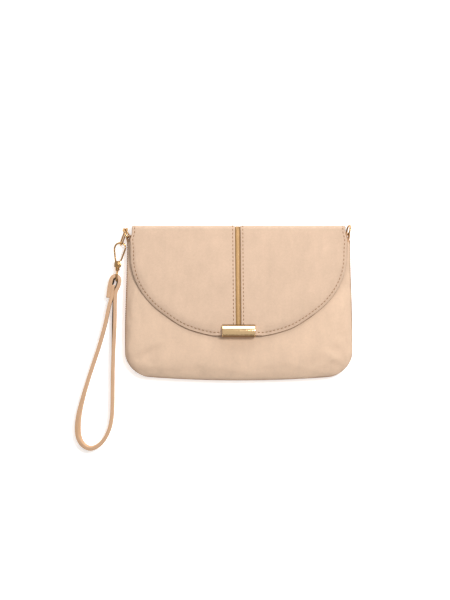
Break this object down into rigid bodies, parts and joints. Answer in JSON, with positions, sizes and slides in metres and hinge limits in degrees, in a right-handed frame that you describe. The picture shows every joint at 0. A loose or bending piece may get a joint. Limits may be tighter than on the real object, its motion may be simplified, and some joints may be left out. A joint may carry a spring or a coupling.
{
  "type": "wristlet wallet",
  "caption": "Soft suede-look clutch with a half-moon flap, a gold bar on its tip, a magnetic snap, and a leather wrist strap on a swivel snap hook",
  "frame": {"origin": "middle of the flat back of the pouch, on the surface it lies on", "axes": "+X to the right of the front, +Y towards the fold of the flap, +Z out of the front"},
  "size_m": [0.2681, 0.219, 0.0312],
  "materials": {
    "suede": "suede-look cloth with a short soft nap, matt",
    "flap_suede": "suede-look cloth, matt, a little paler than the pouch",
    "metallic_trim": "golden-tan leather with a soft metallic sheen",
    "leather": "smooth tan leather, low sheen",
    "lining": "woven lining cloth",
    "zip_tape": "woven tape",
    "board": "stiff fibre board inside the cloth",
    "gold": "polished pale gold plating",
    "small_metal": "pale gold plating"
  },
  "bodies": {
    "pouch": {"back_panel": "suede", "front_panel": "suede", "back_board": "board", "back_lining": "lining", "front_lining": "lining", "mouth_facing": "suede", "zip_pocket_panel": "lining", "zip_pocket_top_strip": "lining", "zip_tape_lower": "zip_tape", "zip_tape_upper": "zip_tape", "zip_teeth_lower": "small_metal", "zip_teeth_upper": "small_metal", "zip_stop_left": "small_metal", "zip_stop_right": "small_metal", "card_panel": "lining", "card_slot_1": "lining", "card_slot_2": "lining", "card_slot_3": "lining", "snap_socket": "small_metal", "snap_socket_washer": "small_metal", "ring_tab_left": "leather", "ring_tab_right": "leather"},
    "spine": {"spine_left": "flap_suede", "spine_right": "flap_suede", "spine_inlay": "metallic_trim", "spine_lining": "lining"},
    "flap": {"flap_left": "flap_suede", "flap_right": "flap_suede", "flap_inlay": "metallic_trim", "flap_lining": "lining", "flap_board": "board", "clasp_bar": "gold", "snap_stud": "small_metal", "snap_stud_washer": "small_metal"},
    "ring_left": {"d_ring_left": "gold"},
    "ring_right": {"d_ring_right": "gold"},
    "link": {"link_ring": "gold"},
    "hook": {"hook_body": "gold", "gate_rivet": "gold", "gate_spring": "small_metal"},
    "gate": {"hook_gate": "gold"},
    "swivel": {"swivel_eye": "gold"},
    "strap": {"wrist_strap": "leather"},
    "slider": {"zip_slider": "small_metal"},
    "pull": {"zip_pull": "small_metal"}
  },
  "joints": [
    {"name": "spine_hinge", "type": "hinge", "parent": "pouch", "child": "spine", "pos_m": [0, 0.0733, 0.0012], "axis": [-1, 0, 0], "range_deg": [0, 85]},
    {"name": "flap_hinge", "type": "hinge", "parent": "spine", "child": "flap", "pos_m": [0, 0.0733, 0.0156], "axis": [-1, 0, 0], "range_deg": [0, 85]},
    {"name": "ring_left_swing", "type": "hinge", "parent": "pouch", "child": "ring_left", "pos_m": [-0.1069, 0.0634, 0.0082], "axis": [-0.2218, -0.1333, 0.9659], "range_deg": [-5, 80]},
    {"name": "link_swing", "type": "hinge", "parent": "ring_left", "child": "link", "pos_m": [-0.10719, 0.06619, 0.00376], "axis": [-0.2218, -0.1333, 0.9659], "range_deg": [-80, 5]},
    {"name": "ring_right_swing", "type": "hinge", "parent": "pouch", "child": "ring_right", "pos_m": [0.1057, 0.0656, 0.0082], "axis": [0.2532, -0.0538, 0.9659], "range_deg": [-80, 5]},
    {"name": "hook_swing", "type": "hinge", "parent": "link", "child": "hook", "pos_m": [-0.1148, 0.0556, 0.0053], "axis": [0, 0, 1], "range_deg": [-35, 1]},
    {"name": "gate_hinge", "type": "hinge", "parent": "hook", "child": "gate", "pos_m": [-0.1174, 0.0368, 0.0065], "axis": [0, 0, 1], "range_deg": [0, 25], "stiffness_Nm_per_rad": 0.004},
    {"name": "eye_swivel", "type": "hinge", "parent": "hook", "child": "swivel", "pos_m": [-0.11785, 0.03182, 0.0065], "axis": [0.0906, 0.9959, 0], "range_deg": [0, 12]},
    {"name": "strap_swing", "type": "hinge", "parent": "swivel", "child": "strap", "pos_m": [-0.11883, 0.02107, 0.0065], "axis": [0, 0, 1], "range_deg": [-60, 1.5]},
    {"name": "zip_slide", "type": "slide", "parent": "pouch", "child": "slider", "axis": [1, 0, 0], "range_m": [0, 0.135]},
    {"name": "zip_pull_flip", "type": "hinge", "parent": "slider", "child": "pull", "pos_m": [-0.0708, 0.028, 0.00685], "axis": [0, -1, 0], "range_deg": [0, 25]}
  ],
  "couplings": [
    {"joint": "flap_hinge", "follows": "spine_hinge", "ratio": 1},
    {"joint": "link_swing", "follows": "ring_left_swing", "ratio": -1}
  ]
}
